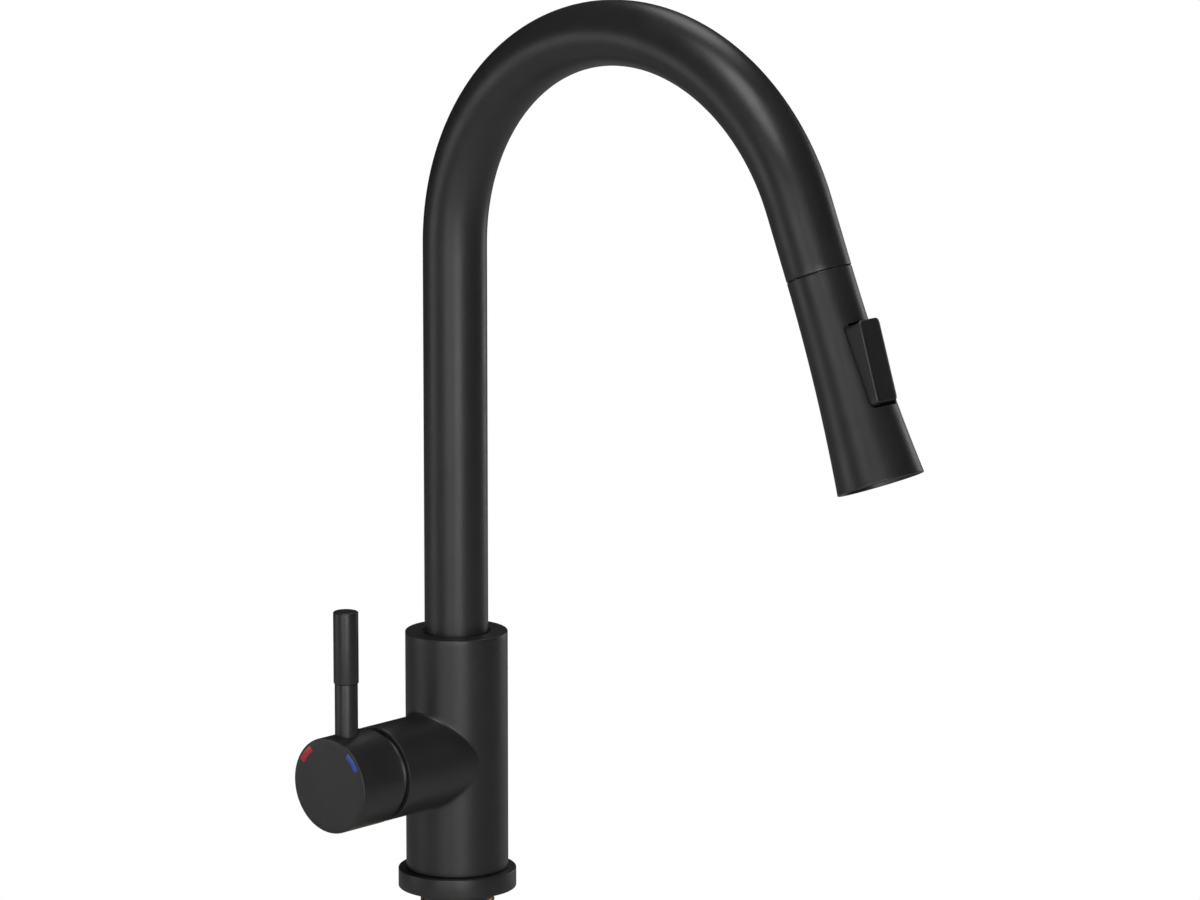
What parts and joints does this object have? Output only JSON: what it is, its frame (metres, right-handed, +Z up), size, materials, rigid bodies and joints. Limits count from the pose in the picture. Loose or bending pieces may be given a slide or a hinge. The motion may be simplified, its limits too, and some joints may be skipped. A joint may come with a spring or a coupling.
{
  "type": "pull down kitchen faucet",
  "caption": "Single-hole kitchen faucet with a swivelling gooseneck spout, a pull-down spray head with a spray button and an upright side lever; matt black.",
  "frame": {"origin": "centre of the deck flange's underside, on the worktop's upper surface", "axes": "+Z up along the body; the spout reaches along -Y, towards the user; the side valve and its lever are at -X; +X completes a right-handed frame"},
  "size_m": [0.107, 0.2841, 0.4922],
  "materials": {
    "matt_black_coat": "matt black powder coat with a soft satin sheen",
    "brass": "turned, uncoated",
    "steel": "fine turned",
    "rubber": "moulded, dull",
    "nozzle_rubber": "soft moulded silicone",
    "grey_plastic": "moulded engineering plastic",
    "black_plastic": "fine moulded texture",
    "ceramic": "lapped ceramic",
    "hose_braid": "dark braided sleeve",
    "hot_mark_enamel": "red inlay",
    "cold_mark_enamel": "blue inlay"
  },
  "bodies": {
    "tap_body": {"base_flange": "matt_black_coat", "deck_gasket": "rubber", "faucet_body": "matt_black_coat", "hot_tail": "brass", "cold_tail": "brass", "mixed_tail": "brass", "threaded_shank": "brass", "clamp_gasket": "rubber", "clamp_washer": "steel", "mounting_nut": "brass", "thrust_washer": "grey_plastic", "swivel_bush": "black_plastic", "spout_lock_screw": "steel", "port_gasket": "rubber", "cartridge_base": "grey_plastic", "fixed_disc": "ceramic", "cartridge_housing": "grey_plastic", "cartridge_nut": "brass", "trim_dome": "matt_black_coat", "hose_coupling": "brass"},
    "spout": {"spout_tube": "matt_black_coat", "spout_foot": "brass", "swivel_o_ring": "rubber", "dock_insert": "black_plastic", "dock_magnet": "steel", "pull_hose": "hose_braid"},
    "spray_head": {"hose_ferrule": "steel", "hose_nut": "brass", "hose_washer": "rubber", "spray_shell": "matt_black_coat", "strike_ring": "steel", "spray_core": "grey_plastic", "check_valve": "grey_plastic", "button_pin": "steel", "nozzle_mat": "nozzle_rubber", "nozzle_plate": "black_plastic", "aerator_ring": "black_plastic", "aerator_screen": "steel"},
    "spray_switch": {"spray_button": "matt_black_coat"},
    "diverter": {"diverter_spool": "brass", "spool_o_ring": "rubber"},
    "valve_rotor": {"spindle_guide": "grey_plastic", "spindle_pin": "steel"},
    "lever": {"spindle": "brass", "handle_hub": "matt_black_coat", "handle_set_screw": "steel", "screw_plug": "black_plastic", "lever_rod": "matt_black_coat", "lever_grip": "matt_black_coat", "hot_mark": "hot_mark_enamel", "cold_mark": "cold_mark_enamel"},
    "mixing_disc": {"moving_disc": "ceramic", "disc_carrier": "grey_plastic"}
  },
  "joints": [
    {"name": "spout_swivel", "type": "hinge", "parent": "tap_body", "child": "spout", "pos_m": [0, 0, 0.095], "axis": [0, 0, 1], "continuous": true},
    {"name": "head_pull", "type": "slide", "parent": "spout", "child": "spray_head", "axis": [0, -0.3746, -0.9272], "range_m": [0, 0.45], "deforming": ["pull_hose"]},
    {"name": "spray_toggle", "type": "hinge", "parent": "spray_head", "child": "spray_switch", "pos_m": [0, -0.231, 0.26205], "axis": [-1, 0, 0], "range_deg": [0, 6]},
    {"name": "diverter_shift", "type": "slide", "parent": "spray_head", "child": "diverter", "axis": [0, -0.3746, -0.9272], "range_m": [0, 0.0008]},
    {"name": "temp_turn", "type": "hinge", "parent": "tap_body", "child": "valve_rotor", "pos_m": [-0.034, 0, 0.06005], "axis": [-1, 0, 0], "range_deg": [-45, 45]},
    {"name": "flow_lift", "type": "hinge", "parent": "valve_rotor", "child": "lever", "pos_m": [-0.034, 0, 0.06005], "axis": [0, -1, 0], "range_deg": [0, 22]},
    {"name": "disc_slide", "type": "slide", "parent": "valve_rotor", "child": "mixing_disc", "axis": [0, 0, 1], "range_m": [0, 0.0027]}
  ],
  "couplings": [
    {"joint": "diverter_shift", "follows": "spray_toggle", "m_per_rad": 0.0068},
    {"joint": "disc_slide", "follows": "flow_lift", "m_per_rad": 0.00664}
  ]
}
